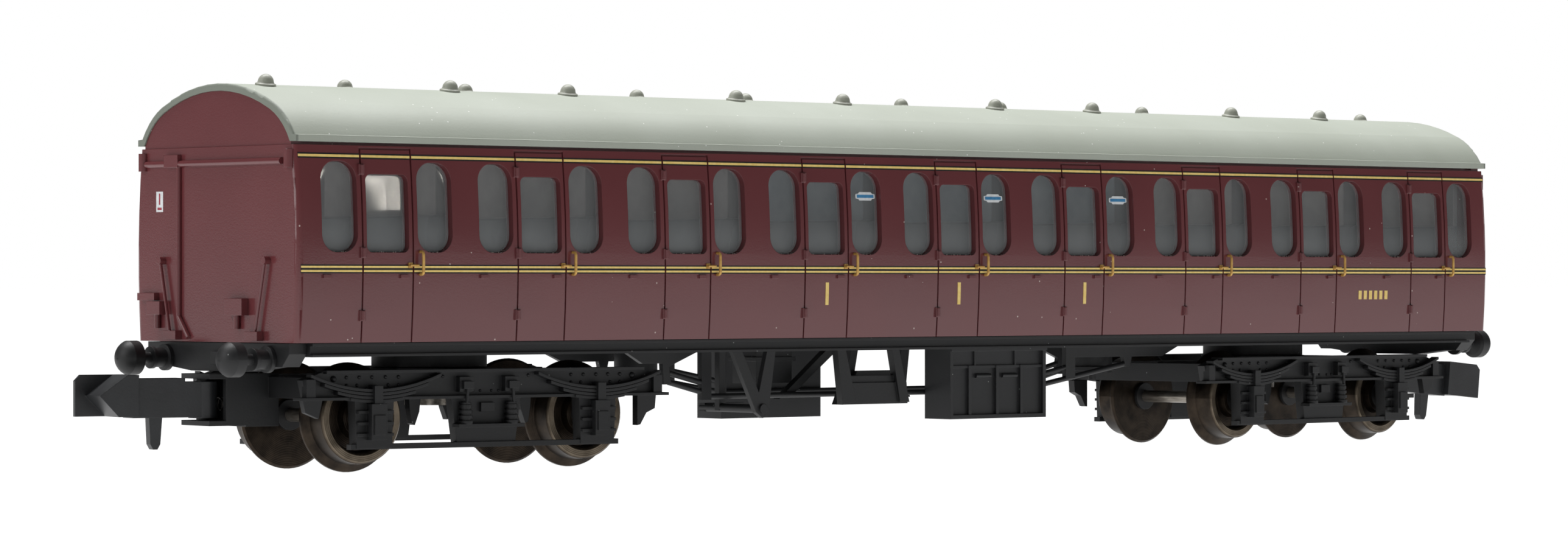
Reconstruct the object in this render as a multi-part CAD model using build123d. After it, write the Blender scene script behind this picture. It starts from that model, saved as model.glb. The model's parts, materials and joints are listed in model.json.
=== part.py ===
"""Model passenger coach, N gauge (1:148): a 57 ft suburban compartment coach.

Frame: +X along the coach, +Y across it, +Z up. The origin is on the centre line, level with the
wheel flanges' lowest points. The front end is at -X. "Left" is the -Y side, "right" is +Y.
All sizes are in millimetres. The underframe, doors and end fittings repeat under a half turn
about the vertical centre line, so most of them are made once and turned.
"""
from build123d import *
import math
import os

# ---------------------------------------------------------------- driving dimensions
BODY_LENGTH = 117.5
BODY_BOTTOM = 8.73
SIDE_TOP = 21.6
WAIST_Z = 15.0
HALF_WIDTH_BOTTOM = 9.08
HALF_WIDTH_WAIST = 9.3
HALF_WIDTH_TOP = 8.87
WALL = 0.7
END_WALL = 0.9
CORNER_RADIUS = 0.4

ROOF_APEX = 25.8
ROOF_RADIUS = 15.1
ROOF_THICKNESS = 0.5
ROOF_END_RADIUS = 0.2
ROOF_BREAK = 6.4
ROOF_EAVES = (8.72, 22.25)
GUTTER_BOTTOM = 21.8
GUTTER_HALF_WIDTH = 9.08
NECK_HALF_WIDTH = 8.37
NECK_THICKNESS = 0.6
NECK_TOP = 22.3

COMPARTMENTS = 9
PITCH = 12.88
DOOR_WIDTH = 4.11
DOOR_TOP = 21.47
GROOVE_WIDTH = 0.13
GROOVE_DEPTH = 0.14
WINDOW_BOTTOM = 14.62
WINDOW_TOP = 20.55
WINDOW_WIDTH = 2.88
WINDOW_OFFSET = 3.88
WINDOW_RADIUS = 1.2
DROPLIGHT_TOP = 19.73
DROPLIGHT_WIDTH = 3.44
DROPLIGHT_RADIUS = 0.45
PANE_GAP = 0.04
PANE_RECESS = 0.42

SOLE_BOTTOM = 7.8
SOLE_TOP = 8.7
SOLE_HALF_WIDTH = 8.75
TONGUE_TOP = 9.2
BALLAST_TOP = 9.9
HEADSTOCK_THICKNESS = 1.4
HEADSTOCK_OUTER = 58.6
BUFFER_Y = 5.86
BUFFER_Z = 7.65
BUFFER_DRUM_BACK = 60.9
BUFFER_DRUM_FRONT = 61.8
BUFFER_FACE = 62.55
BUFFER_HEAD_RADIUS = 1.14

BOGIE_CENTRE = 41.09
BOGIE_TURN_FRONT = -5.5
BOGIE_TURN_REAR = 2.8
COUPLER_TURN_FRONT = -6.0
COUPLER_TURN_REAR = -8.0
COUPLER_DROOP_REAR = 5.5
HALF_WHEELBASE = 8.85
AXLE_Z = 3.67
FLANGE_RADIUS = 3.67
TREAD_RADIUS = 3.1
WHEEL_BACK = 3.75
WHEEL_FRONT = 5.85
AXLE_RADIUS = 0.46
BUSH_RADIUS = 1.05
BOGIE_TOP = 6.87
SIDE_INNER = 6.5
SIDE_FACE = 7.2
POST_X = -17.6
POST_RADIUS = 0.42
COUPLER_TIP = -26.15
COUPLER_PLAY = 0.18
PIVOT_RADIUS = 1.0
PAD_RADIUS = 3.95
PAD_GAP = 0.05

HALF_LENGTH = BODY_LENGTH / 2
COMPARTMENT_X = [(i - (COMPARTMENTS - 1) / 2) * PITCH for i in range(COMPARTMENTS)]


# ---------------------------------------------------------------- helpers
def slab(x_range, y_range, z_range):
    """Box between two X, two Y and two Z values."""
    low = [min(r) for r in (x_range, y_range, z_range)]
    high = [max(r) for r in (x_range, y_range, z_range)]
    middle = [(a + b) / 2 for a, b in zip(low, high)]
    return Pos(*middle) * Box(*[b - a for a, b in zip(low, high)])


def along_x(face, x0, x1):
    """Extrude a face drawn in (Y, Z) from x0 to x1."""
    return extrude(Plane.YZ.offset(x0) * face, amount=x1 - x0)


def along_y(face, y0, y1):
    """Extrude a face drawn in (X, Z) from y0 to y1."""
    return extrude(Plane.XZ.offset(-y1) * face, amount=y1 - y0)


def along_z(face, z0, z1):
    """Extrude a face drawn in (X, Y) from z0 to z1."""
    return extrude(Plane.XY.offset(z0) * face, amount=z1 - z0)


def outline(points):
    """Face inside a closed polygon."""
    return make_face(Polyline(*points, close=True))


def rod(start, end, radius):
    """Round bar between two points."""
    direction = Vector(*end) - Vector(*start)
    place = Plane(origin=Vector(*start), z_dir=direction.normalized())
    return extrude(place * Circle(radius), amount=direction.length)


def dome_arc(edge, top):
    """Arc of a circle centred on the axis of revolution, from an edge (axial, radial) to a top."""
    rise, radius = abs(top - edge[0]), edge[1]
    sphere = (radius ** 2 + rise ** 2) / (2 * rise)
    half = math.asin(radius / sphere) / 2
    if sphere < rise:
        half = (math.pi - math.asin(radius / sphere)) / 2
    sign = 1 if top > edge[0] else -1
    return top - sign * sphere * (1 - math.cos(half)), sphere * math.sin(half)


def turned(shape, degrees=180.0):
    """Turn a shape about the vertical centre line."""
    return Rot(0, 0, degrees) * shape


def fuse(parts):
    """One solid from many overlapping pieces."""
    parts = list(parts)
    return parts[0].fuse(*parts[1:]).clean() if len(parts) > 1 else parts[0]


def save(name, shape):
    """Write one node; several separate solids become one compound."""
    if isinstance(shape, (list, tuple)):
        shape = Compound(children=[solid for item in shape for solid in item.solids()])
    shape.label = name
    export_step(shape, f"parts/{name}.step")


# ---------------------------------------------------------------- side curve
def circle_through(p, q, r):
    """Centre and radius of the circle through three points."""
    ax, ay, bx, by, cx, cy = *p, *q, *r
    d = 2 * (ax * (by - cy) + bx * (cy - ay) + cx * (ay - by))
    a2, b2, c2 = ax * ax + ay * ay, bx * bx + by * by, cx * cx + cy * cy
    ux = (a2 * (by - cy) + b2 * (cy - ay) + c2 * (ay - by)) / d
    uy = (a2 * (cx - bx) + b2 * (ax - cx) + c2 * (bx - ax)) / d
    return ux, uy, math.hypot(ax - ux, ay - uy)


SIDE_CY, SIDE_CZ, SIDE_R = circle_through(
    (HALF_WIDTH_BOTTOM, BODY_BOTTOM), (HALF_WIDTH_WAIST, WAIST_Z), (HALF_WIDTH_TOP, SIDE_TOP))


def side_y(z, inset=0.0):
    """Half width of the body at height z, measured inset from its skin."""
    return SIDE_CY + math.sqrt((SIDE_R - inset) ** 2 - (z - SIDE_CZ) ** 2)


def side_section(inset, z0, z1):
    """Closed (Y, Z) section between the two curved sides, from z0 to z1."""
    zm = (z0 + z1) / 2
    right = ThreePointArc((side_y(z0, inset), z0), (side_y(zm, inset), zm), (side_y(z1, inset), z1))
    left = ThreePointArc((-side_y(z1, inset), z1), (-side_y(zm, inset), zm), (-side_y(z0, inset), z0))
    top = Line((side_y(z1, inset), z1), (-side_y(z1, inset), z1))
    bottom = Line((-side_y(z0, inset), z0), (side_y(z0, inset), z0))
    return make_face(right + top + left + bottom)


def arch_section(inset, lip=0.0):
    """Closed (Y, Z) section under the roof curve; lip widens its foot into the gutter."""
    radius = ROOF_RADIUS - inset
    centre_z = ROOF_APEX - ROOF_RADIUS
    break_y = ROOF_BREAK - 0.6 * inset
    angle = math.asin(break_y / radius)
    crown_end = (break_y, centre_z + radius * math.cos(angle))
    if lip:
        foot = (ROOF_EAVES[0] - inset, ROOF_EAVES[1])
        tail = [foot, (lip, ROOF_EAVES[1] - 0.03), (lip, GUTTER_BOTTOM), (0, GUTTER_BOTTOM)]
    else:
        foot = (NECK_HALF_WIDTH, GUTTER_BOTTOM)
        tail = [foot, (0, GUTTER_BOTTOM)]
    half_angle = angle / 2
    crown_mid = (radius * math.sin(half_angle), centre_z + radius * math.cos(half_angle))
    crown = ThreePointArc((0, ROOF_APEX - inset), crown_mid, crown_end)
    shoulder = TangentArc(crown_end, foot, tangent=(math.cos(angle), -math.sin(angle)))
    closing = Line((0, GUTTER_BOTTOM), (0, ROOF_APEX - inset))
    half = make_face(crown + shoulder + Polyline(*tail) + closing)
    return half + mirror(half, Plane.YZ)


# ---------------------------------------------------------------- windows and doors
def window_sketch(grow):
    """All 27 openings of one side in (X, Z); grow widens each one."""
    side_height = WINDOW_TOP - WINDOW_BOTTOM
    light_height = DROPLIGHT_TOP - WINDOW_BOTTOM
    side = RectangleRounded(WINDOW_WIDTH + 2 * grow, side_height + 2 * grow, WINDOW_RADIUS + grow)
    light = RectangleRounded(DROPLIGHT_WIDTH + 2 * grow, light_height + 2 * grow, DROPLIGHT_RADIUS + grow)
    shapes = []
    for x in COMPARTMENT_X:
        shapes.append(Pos(x, WINDOW_BOTTOM + light_height / 2) * light)
        for offset in (-WINDOW_OFFSET, WINDOW_OFFSET):
            shapes.append(Pos(x + offset, WINDOW_BOTTOM + side_height / 2) * side)
    return shapes


def window_prisms(grow, y0, y1):
    """The openings' prisms from y0 to y1."""
    return [along_y(shape, y0, y1) for shape in window_sketch(grow)]


def door_grooves():
    """Shut lines round every door, cut a little way into both skins."""
    skin = along_x(side_section(-0.2, BODY_BOTTOM - 0.1, SIDE_TOP), -HALF_LENGTH, HALF_LENGTH)
    skin -= along_x(side_section(GROOVE_DEPTH, BODY_BOTTOM - 0.2, SIDE_TOP + 0.1),
                    -HALF_LENGTH, HALF_LENGTH)
    half = DOOR_WIDTH / 2
    lines = []
    for x in COMPARTMENT_X:
        for edge in (x - half, x + half):
            x_range = (edge - GROOVE_WIDTH / 2, edge + GROOVE_WIDTH / 2)
            lines.append(slab(x_range, (-10, 10), (8, DOOR_TOP)))
        lines.append(slab((x - half, x + half), (-10, 10), (DOOR_TOP - GROOVE_WIDTH, DOOR_TOP)))
    return skin & Compound(children=[item.solid() for item in lines])


def left_hinges():
    """Three hinge plates with knuckles on each left-side door."""
    pieces = []
    for x in COMPARTMENT_X:
        hinge_x = x - DOOR_WIDTH / 2
        for z in (20.04, 14.6, 10.49):
            skin_y = side_y(z)
            pieces.append(slab((hinge_x - 0.23, hinge_x + 0.23), (-skin_y + 0.1, -skin_y - 0.12),
                               (z - 0.35, z + 0.35)))
            pieces.append(rod((hinge_x, -skin_y - 0.12, z - 0.3), (hinge_x, -skin_y - 0.12, z + 0.3), 0.13))
    return pieces


def left_lugs():
    """Small door-stop lugs under the waist lining."""
    pieces = []
    for x in COMPARTMENT_X:
        for offset in (-4.95, 1.28):
            skin_y = side_y(13.05)
            pieces.append(slab((x + offset - 0.33, x + offset + 0.33), (-skin_y + 0.1, -skin_y - 0.14),
                               (12.93, 13.17)))
    return pieces


def body_shell():
    """Sides and ends in one moulding, open below and above."""
    shell = along_x(side_section(0, BODY_BOTTOM, SIDE_TOP), -HALF_LENGTH, HALF_LENGTH)
    corners = [e for e in shell.edges() if e.geom_type == GeomType.CIRCLE]
    shell = fillet(corners, CORNER_RADIUS)
    inner = HALF_LENGTH - END_WALL
    neck_inner = NECK_HALF_WIDTH - NECK_THICKNESS
    shell -= along_x(side_section(WALL, BODY_BOTTOM - 0.5, SIDE_TOP - 0.6), -inner, inner)
    shell -= slab((-inner, inner), (-neck_inner, neck_inner), (SIDE_TOP - 1, SIDE_TOP + 1))
    shell -= door_grooves()
    shell -= Compound(children=[p.solid() for p in window_prisms(0, -10, 10)])
    for side in (-1, 1):
        neck_y = (side * neck_inner, side * NECK_HALF_WIDTH)
        shell += slab((-inner, inner), neck_y, (SIDE_TOP - 0.3, NECK_TOP - 0.6))
        shell += slab((-inner, inner), (side * neck_inner, side * (neck_inner + 0.25)), (SIDE_TOP, NECK_TOP))
    arch_foot = outline([(-NECK_HALF_WIDTH, SIDE_TOP - 0.3), (NECK_HALF_WIDTH, SIDE_TOP - 0.3),
                         (NECK_HALF_WIDTH, GUTTER_BOTTOM), (-NECK_HALF_WIDTH, GUTTER_BOTTOM)])
    for sign in (-1, 1):
        x_in, x_out = sorted((sign * inner, sign * (HALF_LENGTH - 0.1)))
        shell += along_x(arch_section(ROOF_THICKNESS), x_in, x_out)
        shell += along_x(arch_foot, x_in, x_out)
    details = left_hinges() + left_lugs()
    details += [turned(piece) for piece in details]
    return shell.fuse(*details).clean()


def roof():
    """Roof moulding with its gutter lips."""
    shell = along_x(arch_section(0, lip=GUTTER_HALF_WIDTH), -HALF_LENGTH, HALF_LENGTH)
    end_curves = [e for e in shell.edges()
                  if abs(abs(e.center().X) - HALF_LENGTH) < 0.01 and e.geom_type == GeomType.CIRCLE]
    shell = fillet(end_curves, ROOF_END_RADIUS)
    return shell - along_x(arch_section(ROOF_THICKNESS), -HALF_LENGTH - 1, HALF_LENGTH + 1)


def ventilators():
    """Dome ventilators in two staggered rows; the right row is the left one turned."""
    row_y = -2.0
    seat_z = ROOF_APEX - ROOF_RADIUS + math.sqrt(ROOF_RADIUS ** 2 - row_y ** 2)
    tilt = math.degrees(math.asin(row_y / ROOF_RADIUS))
    rim, top = (0.26, 0.53), 0.76
    mid_z, mid_r = dome_arc(rim, top)
    profile = make_face(Polyline((0, top), (0, -0.1), (0.7, -0.1), (0.7, 0.1), (0.56, 0.18),
                                 (rim[1], rim[0]))
                        + ThreePointArc((rim[1], rim[0]), (mid_r, mid_z), (0, top)))
    dome = revolve(Plane.XZ * profile, Axis.Z)
    centres = [-38.64 + 2.94 + 2 * PITCH * i for i in range(4)]
    places = [-56.15] + [c + s * 5.15 for c in centres for s in (-1, 1)]
    left = [Pos(x, row_y, seat_z) * Rot(-tilt, 0, 0) * dome for x in places]
    roof_core = along_x(arch_section(0), -HALF_LENGTH, HALF_LENGTH)
    left = [dome - roof_core for dome in left]
    return left, [turned(dome) for dome in left]


def glazing(sign):
    """Clear strip behind one side, with a raised pane in each opening."""
    inner = HALF_LENGTH - END_WALL - 0.2
    strip = along_x(side_section(WALL + 0.02, 13.9, 20.95), -inner, inner)
    strip -= along_x(side_section(WALL + 0.5, 13.0, 21.2), -inner - 1, inner + 1)
    raised = along_x(side_section(PANE_RECESS, 13.9, 20.95), -inner, inner)
    raised -= along_x(side_section(WALL + 0.3, 13.0, 21.2), -inner - 1, inner + 1)
    y0, y1 = sorted((0, sign * 10))
    panes = Compound(children=[p.solid() for p in window_prisms(-PANE_GAP, y0, y1)])
    half_space = slab((-60, 60), (0, sign * 12), (10, 25))
    return (strip & half_space).fuse(raised & panes).clean()


# ---------------------------------------------------------------- inside the body
def interior():
    """Partitions and facing benches on one floor."""
    floor_top = BALLAST_TOP + 0.5
    half = 7.6
    pieces = [slab((-57, 57), (-half, half), (BALLAST_TOP, floor_top))]
    for i in range(COMPARTMENTS + 1):
        x = (i - COMPARTMENTS / 2) * PITCH
        x = max(-56.75, min(56.75, x))
        pieces.append(slab((x - 0.25, x + 0.25), (-half, half), (floor_top - 0.1, 20.9)))
        for sign in (-1, 1):
            if abs(x + sign * 3) > 57:
                continue
            base = outline([(x + sign * 0.2, floor_top - 0.1), (x + sign * 3.3, floor_top - 0.1),
                            (x + sign * 3.5, 12.7), (x + sign * 1.5, 12.5), (x + sign * 0.9, 17.0),
                            (x + sign * 0.2, 17.2)])
            pieces.append(along_y(base, -half, half))
    return fuse(pieces)


# ---------------------------------------------------------------- underframe
def underframe():
    """Floor, solebars, bogie pads and the tongue that locates the body."""
    end = HEADSTOCK_OUTER - HEADSTOCK_THICKNESS
    web_y = SOLE_HALF_WIDTH - 0.28
    pieces = [slab((-end, end), (-web_y, web_y), (SOLE_BOTTOM, SOLE_TOP)),
              slab((-end, end), (-8.28, 8.28), (SOLE_TOP - 0.1, TONGUE_TOP))]
    for side in (-1, 1):
        for z0, z1 in ((SOLE_BOTTOM, SOLE_BOTTOM + 0.18), (SOLE_TOP - 0.2, SOLE_TOP)):
            pieces.append(slab((-end, end), (side * (web_y - 0.1), side * SOLE_HALF_WIDTH), (z0, z1)))
    for sign in (-1, 1):
        pad = along_z(Circle(PAD_RADIUS), BOGIE_TOP + PAD_GAP, SOLE_BOTTOM + 0.1)
        pieces.append(Pos(sign * BOGIE_CENTRE, 0, 0) * pad)
    frame = fuse(pieces)
    for sign in (-1, 1):
        screw_hole = along_z(Circle(PIVOT_RADIUS), BOGIE_TOP - 1, SOLE_TOP - 0.2)
        frame -= Pos(sign * BOGIE_CENTRE, 0, 0) * screw_hole
    return frame


def headstock():
    """Front buffer beam."""
    half = [(0, 6.8), (3.0, 6.8), (6.2, 7.15), (7.3, 7.15), (8.1, 8.0), (8.1, SOLE_TOP)]
    points = half + [(-y, z) for y, z in reversed(half[1:])]
    beam = along_x(outline(points), -HEADSTOCK_OUTER, -HEADSTOCK_OUTER + HEADSTOCK_THICKNESS)
    hook = slab((-HEADSTOCK_OUTER - 0.25, -HEADSTOCK_OUTER + 0.2), (-0.5, 0.5), (7.25, 8.1))
    return fuse([beam, hook])


def buffer(y):
    """One front buffer: flanged housing, thin shank and deep domed head, all fixed."""
    x0, radius = HEADSTOCK_OUTER, BUFFER_HEAD_RADIUS
    rim = (BUFFER_DRUM_FRONT, radius)
    profile = make_face(
        Polyline((x0, 0), (x0, 0.88), (x0 + 0.3, 0.88), (x0 + 0.35, 0.66), (x0 + 1.1, 0.64),
                 (x0 + 1.15, 0.74), (x0 + 1.4, 0.74), (x0 + 1.45, 0.36),
                 (BUFFER_DRUM_BACK - 0.25, 0.36), (BUFFER_DRUM_BACK, 0.8 * radius),
                 (BUFFER_DRUM_BACK + 0.15, radius), rim)
        + ThreePointArc(rim, dome_arc(rim, BUFFER_FACE), (BUFFER_FACE, 0))
        + Line((BUFFER_FACE, 0), (x0, 0)))
    shape = revolve(profile, Axis.X)
    return Pos(0, y, BUFFER_Z) * Rot(0, 0, 180) * shape


def battery_box():
    """Left battery box: front frame, ribs, lid bar and two handles."""
    x0, x1, face, back, z0, z1 = 0.83, 10.6, -7.25, -4.8, 2.65, SOLE_BOTTOM
    width, height, proud, rim = x1 - x0, z1 - z0, 0.28, 0.3
    pieces = [slab((x0, x1), (face, back), (z0, z1))]
    front = (face + 0.1, face - proud)
    pieces.append(slab((x0, x0 + rim), front, (z0, z1)))
    pieces.append(slab((x1 - rim, x1), front, (z0, z1)))
    pieces.append(slab((x0, x1), front, (z0, z0 + rim)))
    pieces.append(slab((x0, x1), (face + 0.1, face - proud - 0.15), (z1 - 0.2, z1)))
    bar_z = z1 - 0.26 * height
    pieces.append(slab((x0, x1), (face + 0.1, face - 0.15), (bar_z - 0.1, bar_z + 0.1)))
    for share in (0.21, 0.495, 0.75):
        x = x0 + share * width
        pieces.append(slab((x - 0.14, x + 0.14), (face + 0.1, face - 0.22), (z0, bar_z + 0.1)))
    for share in (0.27, 0.69):
        x = x0 + share * width
        pieces.append(slab((x - 0.08, x + 0.08), (face + 0.1, face - 0.14), (bar_z, z1)))
    for share in (0.355, 0.63):
        x = x0 + share * width
        z = z1 - 0.39 * height
        pieces.append(rod((x - 0.75, face - 0.08, z), (x + 0.75, face - 0.08, z), 0.16))
    return fuse(pieces)


def truss():
    """Left trussing: double sloping bars, bottom chord, posts and end gussets."""
    y, r, half = -4.5, 0.2, 0.2
    chord_z, left_x, right_x = 4.6, -20.2, 10.9
    bars = [((-23.5, 5.65), (left_x, 4.85)), ((-23.5, 6.3), (left_x, 5.5)),
            ((left_x, chord_z), (right_x, chord_z)),
            ((right_x, chord_z), (22.1, 6.45)), ((right_x, 5.35), (16.0, 6.3))]
    pieces = [rod((xa, y, za), (xb, y, zb), r) for (xa, za), (xb, zb) in bars]
    posts = [((left_x - 0.4, left_x + 0.5), chord_z - 0.25),
             ((right_x - 0.35, right_x + 0.1), chord_z - 0.25), ((15.5, 16.5), 5.4)]
    for x_range, foot in posts:
        pieces.append(slab(x_range, (y - half, y + half), (foot, SOLE_BOTTOM)))
    shelf_z = 6.98
    left_gusset = outline([(-27.5, SOLE_BOTTOM), (-20.9, SOLE_BOTTOM), (-23.6, 6.75), (-23.4, 5.5),
                           (-24.1, 5.5), (-24.2, shelf_z), (-26.0, shelf_z)])
    right_gusset = outline([(16.2, SOLE_BOTTOM), (27.8, SOLE_BOTTOM), (25.9, shelf_z), (22.6, shelf_z),
                            (22.4, 6.2), (21.9, 6.2), (21.7, shelf_z), (16.2, shelf_z)])
    for gusset in (left_gusset, right_gusset):
        pieces.append(along_y(gusset, y - half, y + half))
    return fuse(pieces)


def v_hanger():
    """Left brake V-hanger."""
    plate = outline([(-20.4, SOLE_BOTTOM), (-19.5, SOLE_BOTTOM), (-17.95, 4.9), (-17.2, SOLE_BOTTOM),
                     (-16.4, SOLE_BOTTOM), (-17.1, 3.25), (-17.6, 3.1), (-18.2, 3.5)])
    boss = rod((-17.6, -7.95, 3.75), (-17.6, -7.2, 3.75), 0.35)
    return fuse([along_y(plate, -7.8, -7.4), boss])


def equipment_tray():
    """Left equipment cradle: two hangers and a tray."""
    left_leg = outline([(-10.4, SOLE_BOTTOM), (-9.6, SOLE_BOTTOM), (-8.6, 4.1), (-9.9, 3.9)])
    right_leg = outline([(-5.1, SOLE_BOTTOM), (-4.4, SOLE_BOTTOM), (-3.4, 4.0), (-4.3, 4.0)])
    tray = outline([(-9.9, 3.9), (-3.4, 3.9), (-3.5, 5.45), (-9.2, 5.45)])
    bed = outline([(-9.2, 5.2), (-4.2, 5.2), (-4.6, 5.95), (-8.9, 5.95)])
    pieces = [along_y(left_leg, -7.7, -7.1), along_y(right_leg, -7.7, -7.1)]
    pieces += [along_y(tray, -7.5, -6.5), along_y(bed, -7.35, -6.7)]
    return fuse(pieces)


def regulator_box():
    """Regulator box on the left of the floor, with its slanting stay."""
    box = slab((-14.2, -10.8), (-3.2, -0.6), (5.4, SOLE_BOTTOM))
    lid = slab((-14.4, -10.6), (-3.4, -0.4), (7.0, 7.3))
    stay = outline([(-12.9, 4.3), (-12.0, 4.3), (-7.2, SOLE_BOTTOM), (-8.3, SOLE_BOTTOM)])
    return [fuse([box, lid]), along_y(stay, -4.2, -3.6)]


def vacuum_cylinder(x, y):
    """Upright brake cylinder with a bottom flange and piston rod."""
    barrel = Pos(x, y, 0) * along_z(Circle(1.55), 5.7, SOLE_BOTTOM)
    flange = Pos(x, y, 0) * along_z(Circle(1.8), 5.9, 6.2)
    piston = rod((x, y, 5.2), (x, y, 5.8), 0.28)
    return fuse([barrel, flange, piston])


def left_brake_shaft():
    """Short cross shaft behind the left V-hanger, with its lever and inner arm."""
    x, z = -17.6, 3.75
    shaft = rod((x, -7.2, z), (x, -1.2, z), 0.3)
    lever = slab((x - 0.25, x + 3.4), (-1.8, -1.2), (z - 0.3, z + 0.3))
    arm = slab((x - 0.3, x + 0.3), (-3.45, -2.95), (z - 0.2, SOLE_BOTTOM))
    return fuse([shaft, lever, arm])


# ---------------------------------------------------------------- handles and end fittings
def left_grab_handles():
    """Bent wire grab handle beside each left-side door."""
    wire, stand = 0.1, 0.36
    handles = []
    for x in COMPARTMENT_X:
        z0, z1 = 13.09 + wire, 14.78 - wire
        skin = -side_y((z0 + z1) / 2) - 0.004
        grip_x = x + 2.62
        path = FilletPolyline((grip_x, skin, z0), (grip_x, skin - stand, z0),
                              (grip_x, skin - stand, z1), (grip_x, skin, z1), radius=0.2)
        start = Plane(origin=(grip_x, skin, z0), z_dir=(0, -1, 0))
        handles.append(sweep(start * Circle(wire), path=path))
    return handles


def left_door_handles():
    """T handle on each left-side door."""
    handles = []
    for x in COMPARTMENT_X:
        z = 13.78
        skin = -side_y(z) - 0.006
        plate = Pos(x + 1.78, skin - 0.05, z) * Box(0.3, 0.1, 0.36)
        stem = rod((x + 1.78, skin - 0.05, z), (x + 1.78, skin - 0.26, z), 0.07)
        bar = rod((x + 1.62, skin - 0.24, z), (x + 2.32, skin - 0.24, z), 0.08)
        handles.append(fuse([plate, stem, bar]))
    return handles


def front_end_fittings():
    """Conduit, corner rainstrips, brackets and alarm rods on the front end."""
    face = -HALF_LENGTH
    pieces = []

    def block(y_range, z_range, proud):
        return slab((face, face - proud), y_range, z_range)

    conduit = rod((face - 0.1, -7.6, 20.55), (face - 0.1, 7.9, 20.55), 0.22)
    pieces.append(conduit - slab((face, face + 1), (-9, 9), (19, 22)))
    pieces.append(block((3.96, 5.57), (20.3, 21.15), 0.32))
    for y in (8.35, -8.35):
        strip = rod((face - 0.05, y, 20.1), (face - 0.05, y, 21.3), 0.34)
        pieces.append(strip - slab((face, face + 1), (-10, 10), (19, 22)))
    riser = rod((face - 0.12, 4.1, 10.4), (face - 0.12, 4.1, 20.5), 0.17)
    offset = rod((face - 0.12, 4.1, 10.4), (face - 0.12, 2.95, 9.0), 0.17)
    pieces.append(fuse([riser, offset]) - slab((face, face + 1), (-9, 9), (8, 22)))
    pieces.append(block((6.6, 8.6), (11.45, 11.95), 0.4))
    pieces.append(block((5.75, 7.3), (10.5, 11.4), 0.55))
    pieces.append(block((-3.75, -1.75), (10.5, 11.6), 0.55))
    for y in (6.5, -2.7):
        pieces.append(rod((face - 0.2, y, 9.6), (face - 0.2, y, 10.6), 0.2))
    for sign in (-1, 1):
        top, foot = (face - 0.3, sign * 6.0, 14.1), (face - 0.3, sign * 4.9, 9.4)
        knob = rod((face, sign * 6.0, 14.1), (face - 0.45, sign * 6.0, 14.1), 0.26)
        base = block((sign * 3.95, sign * 5.4), (8.85, 9.45), 0.5)
        pieces.append(fuse([rod(top, foot, 0.11), knob, base]))
    pieces[0] = fuse([pieces[0], pieces[1]])
    del pieces[1]
    return pieces


# ---------------------------------------------------------------- bogie, in its own frame
def bogie_frame():
    """Bolster, spine, end beams and the coupler pocket at the -X end."""
    plan_top = BOGIE_TOP
    pieces = [slab((-2.1, 2.1), (-SIDE_INNER, SIDE_INNER), (5.0, plan_top)),
              along_z(Circle(PAD_RADIUS + 0.1), 6.2, plan_top),
              slab((-13.6, 13.6), (-1.9, 1.9), (5.0, 6.5))]
    for sign in (-1, 1):
        pieces.append(slab((sign * 12.9, sign * 13.7), (-SIDE_INNER, SIDE_INNER), (5.0, 6.4)))
    pieces.append(slab((-15.4, -12.9), (-1.9, 1.9), (3.1, 6.6)))
    for z0, z1 in ((3.18, 3.52), (6.28, 6.62)):
        pieces.append(slab((-18.15, -15.2), (-1.9, 1.9), (z0, z1)))
    for side in (-1, 1):
        pieces.append(slab((-16.9, -15.2), (side * 1.5, side * 1.9), (3.2, 6.6)))
    pieces.append(rod((POST_X, 0, 3.3), (POST_X, 0, 6.4), POST_RADIUS))
    frame = fuse(pieces)
    return frame - along_z(Circle(PIVOT_RADIUS + 0.06), 4, 8)


def leaf_spring(x):
    """Four leaves and a buckle over one axlebox."""
    pieces = []
    for i in range(4):
        half = 5.0 - 1.0 * i
        drop = 0.24 * i
        sag = 1.02
        bow = sag * (half / 5.0) ** 2
        mid_z = 5.62 - drop
        y_out = SIDE_FACE + 0.62
        upper = ThreePointArc((x - half, mid_z + bow), (x, mid_z), (x + half, mid_z + bow))
        lower = ThreePointArc((x + half, mid_z + bow - 0.2), (x, mid_z - 0.2), (x - half, mid_z + bow - 0.2))
        ends = Line((x + half, mid_z + bow), (x + half, mid_z + bow - 0.2))
        close = Line((x - half, mid_z + bow - 0.2), (x - half, mid_z + bow))
        pieces.append(along_y(make_face(upper + ends + lower + close), SIDE_FACE - 0.1, y_out))
    pieces.append(slab((x - 0.32, x + 0.32), (SIDE_FACE - 0.1, SIDE_FACE + 0.85), (4.6, 5.85)))
    return pieces


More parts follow.
